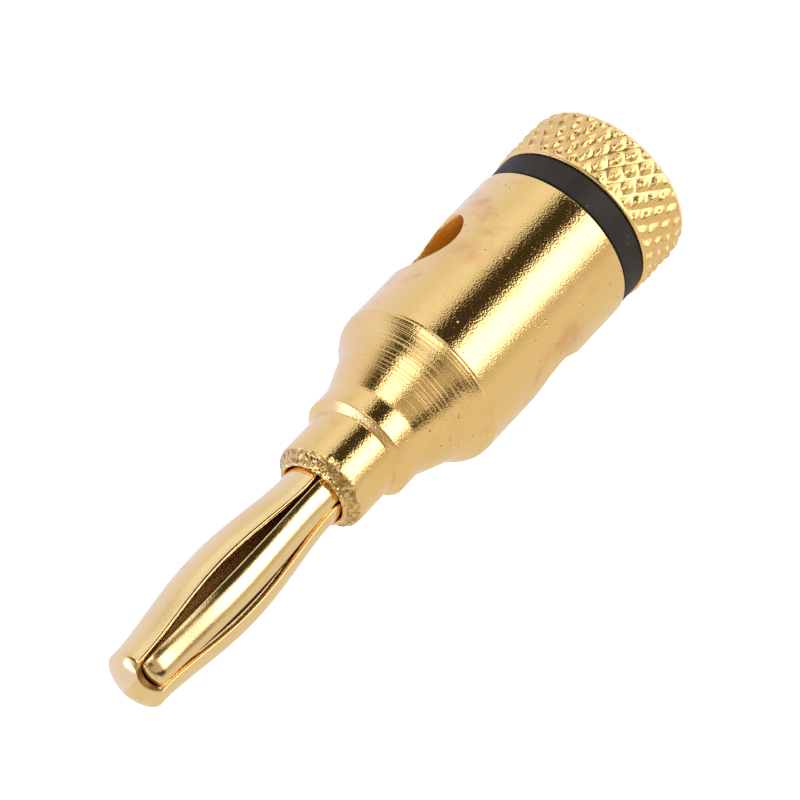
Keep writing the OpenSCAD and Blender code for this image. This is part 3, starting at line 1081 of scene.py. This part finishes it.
def pale_floor(stage):
    """A wide pale floor that the plated metal does not mirror. It slides with the ring, so the
    unscrewed cap still stands on it."""
    half = stage.floor_side / 2
    corners = [(-half, -half, 0), (half, -half, 0), (half, half, 0), (-half, half, 0)]
    floor = add_object("floor", corners, [(0, 1, 2, 3)])
    material, n, where = new_material("floor_paper")
    fibre = n.remap(n.noise(where, 2 * MM, 3), 0.3, 0.7, 0.0, 0.03)
    paper = n.mix(fibre, rgba(stage.floor_colour), rgba(stage.floor_fibre))
    n.surface({"Base Color": paper, "Roughness": 0.9})
    floor.data.materials.append(material)
    floor.visible_glossy = False
    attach(floor, "ring")


def photo_camera(stage):
    """A long lens at the photograph's angle."""
    azimuth, elevation = stage.view_azimuth, stage.view_elevation
    back = Vector((
        math.sin(azimuth) * math.cos(elevation),
        -math.cos(azimuth) * math.cos(elevation),
        math.sin(elevation),
    ))
    level = Vector((math.cos(azimuth), math.sin(azimuth), 0))
    raised = back.cross(level)
    right = math.cos(stage.view_roll) * level + math.sin(stage.view_roll) * raised
    up = back.cross(right)
    data = bpy.data.cameras.new("photo_camera")
    data.lens = stage.lens
    data.sensor_width = 36
    data.clip_start = 0.01
    data.clip_end = 10
    camera = bpy.data.objects.new("photo_camera", data)
    bpy.context.scene.collection.objects.link(camera)
    turn = Matrix((right, up, back)).transposed().to_4x4()
    aim = Vector((0, stage.aim_y, stage.aim_z))
    camera.matrix_world = Matrix.Translation(aim + back * stage.view_distance) @ turn
    bpy.context.scene.camera = camera


class PLUG_OT_stage(bpy.types.Operator):
    """Set up floor, light and camera"""

    bl_idname = "plug.stage"
    bl_label = "Stage"

    def execute(self, context):
        stage = context.scene.plug_stage
        studio_world(stage)
        pale_floor(stage)
        photo_camera(stage)
        context.scene.view_settings.view_transform = "Standard"
        return {"FINISHED"}


class PLUG_PT_panel(bpy.types.Panel):
    """Buttons and settings of the plug"""

    bl_label = "Banana Plug"
    bl_idname = "PLUG_PT_panel"
    bl_space_type = "VIEW_3D"
    bl_region_type = "UI"
    bl_category = "Banana Plug"

    def draw(self, context):
        for operator in OPERATORS:
            self.layout.operator(operator.bl_idname)
        scene = context.scene
        for group in (scene.plug_sizes, scene.plug_finish, scene.plug_stage):
            box = self.layout.box()
            for key in group.bl_rna.properties.keys():
                if key not in ("rna_type", "name"):
                    box.prop(group, key)


OPERATORS = (
    PLUG_OT_barrel,
    PLUG_OT_leaf_springs,
    PLUG_OT_root_plug,
    PLUG_OT_colour_ring,
    PLUG_OT_screw_cap,
    PLUG_OT_stage,
)
CLASSES = (PlugSizes, PlugFinish, PlugStage, *OPERATORS, PLUG_PT_panel)


def register():
    """Makes the pieces' operators and settings known to Blender."""
    for cls in CLASSES:
        bpy.utils.register_class(cls)
    bpy.types.Scene.plug_sizes = PointerProperty(type=PlugSizes)
    bpy.types.Scene.plug_finish = PointerProperty(type=PlugFinish)
    bpy.types.Scene.plug_stage = PointerProperty(type=PlugStage)


def unregister():
    """Takes them away again."""
    del bpy.types.Scene.plug_stage
    del bpy.types.Scene.plug_finish
    del bpy.types.Scene.plug_sizes
    for cls in reversed(CLASSES):
        bpy.utils.unregister_class(cls)


def main():
    """Builds the plug and its stage."""
    register()
    bpy.ops.plug.barrel()
    bpy.ops.plug.leaf_springs()
    bpy.ops.plug.root_plug()
    bpy.ops.plug.colour_ring()
    bpy.ops.plug.screw_cap()
    bpy.ops.plug.stage()


if __name__ == "__main__":
    main()
